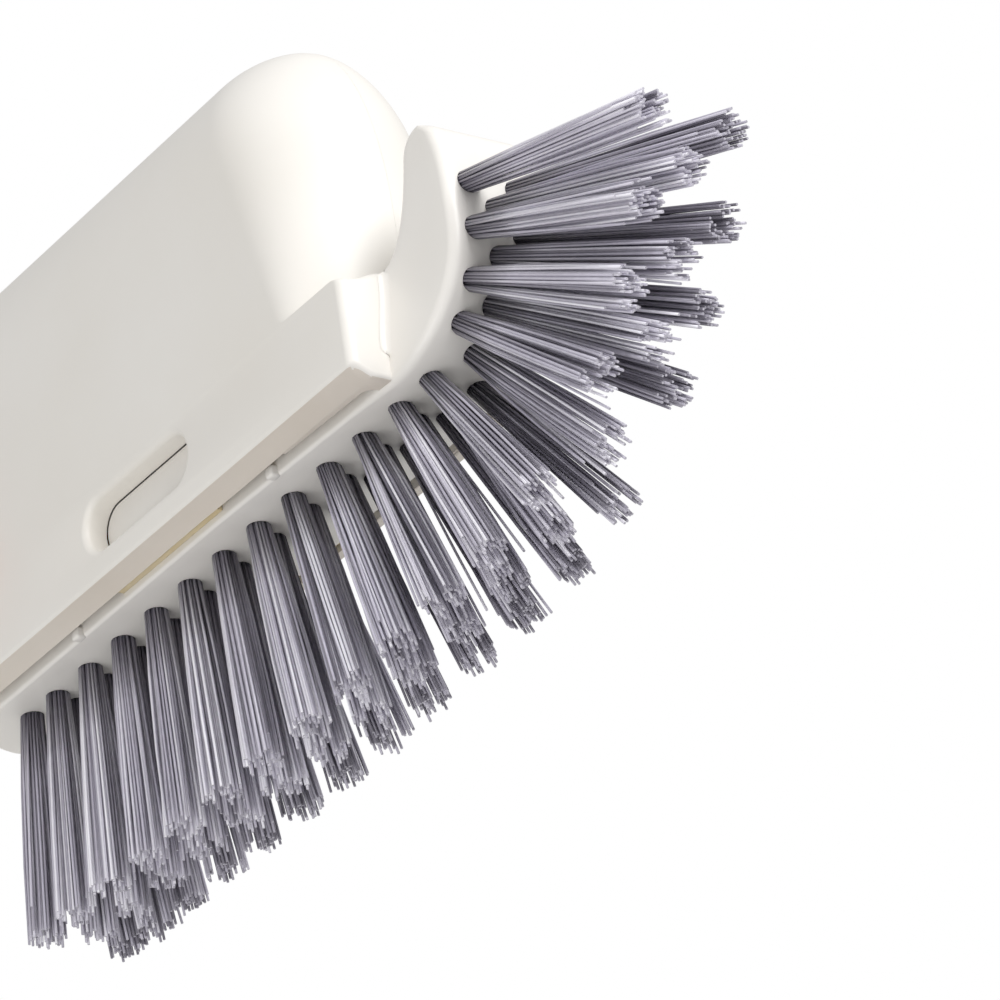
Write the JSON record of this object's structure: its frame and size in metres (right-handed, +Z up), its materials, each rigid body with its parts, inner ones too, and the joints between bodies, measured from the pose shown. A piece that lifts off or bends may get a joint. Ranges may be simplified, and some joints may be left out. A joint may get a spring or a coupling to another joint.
{
  "type": "cleaning brush",
  "caption": "Slim cleaning brush: two-shell bar handle with a clip-on, J-shaped bristle head of three tuft rows and two push buttons that release it.",
  "frame": {"origin": "below the middle of the whole brush, midway between its sides, on the plane that the bristle tips stand on", "axes": "+X along the handle to the nose, +Y to the far side, +Z up from the bristles to the handle's back"},
  "size_m": [0.235, 0.0252, 0.0686],
  "materials": {
    "shell_white": "satin off-white ABS",
    "carrier_white": "satin off-white ABS",
    "core_amber": "translucent amber polypropylene",
    "button_coral": "satin coral ABS",
    "screw_steel": "zinc plated",
    "spring_steel": "bright drawn wire",
    "bristle_grey": "nylon filament, cut ends"
  },
  "bodies": {
    "handle": {"near_shell": "shell_white", "far_shell": "shell_white", "shell_screw_1": "screw_steel", "shell_screw_2": "screw_steel", "shell_screw_3": "screw_steel", "shell_screw_4": "screw_steel", "core_frame": "core_amber", "button_spring": "spring_steel"},
    "near_button": {"near_release_button": "button_coral"},
    "far_button": {"far_release_button": "button_coral"},
    "head": {"bristle_carrier": "carrier_white", "near_rear_tufts": "bristle_grey", "near_front_tufts": "bristle_grey", "near_toe_tufts": "bristle_grey", "middle_rear_tufts": "bristle_grey", "middle_front_tufts": "bristle_grey", "middle_toe_tufts": "bristle_grey", "far_rear_tufts": "bristle_grey", "far_front_tufts": "bristle_grey", "far_toe_tufts": "bristle_grey"}
  },
  "joints": [
    {"name": "near_button_press", "type": "slide", "parent": "handle", "child": "near_button", "axis": [0, 1, 0], "range_m": [0, 0.0016], "stiffness_N_per_m": 400, "springref_m": -0.002, "deforming": ["button_spring"]},
    {"name": "far_button_press", "type": "slide", "parent": "handle", "child": "far_button", "axis": [0, -1, 0], "range_m": [0, 0.0016], "stiffness_N_per_m": 400, "springref_m": -0.002, "deforming": ["button_spring"]},
    {"name": "head_pull_off", "type": "slide", "parent": "handle", "child": "head", "axis": [0, 0, -1], "range_m": [0, 0.03]}
  ]
}
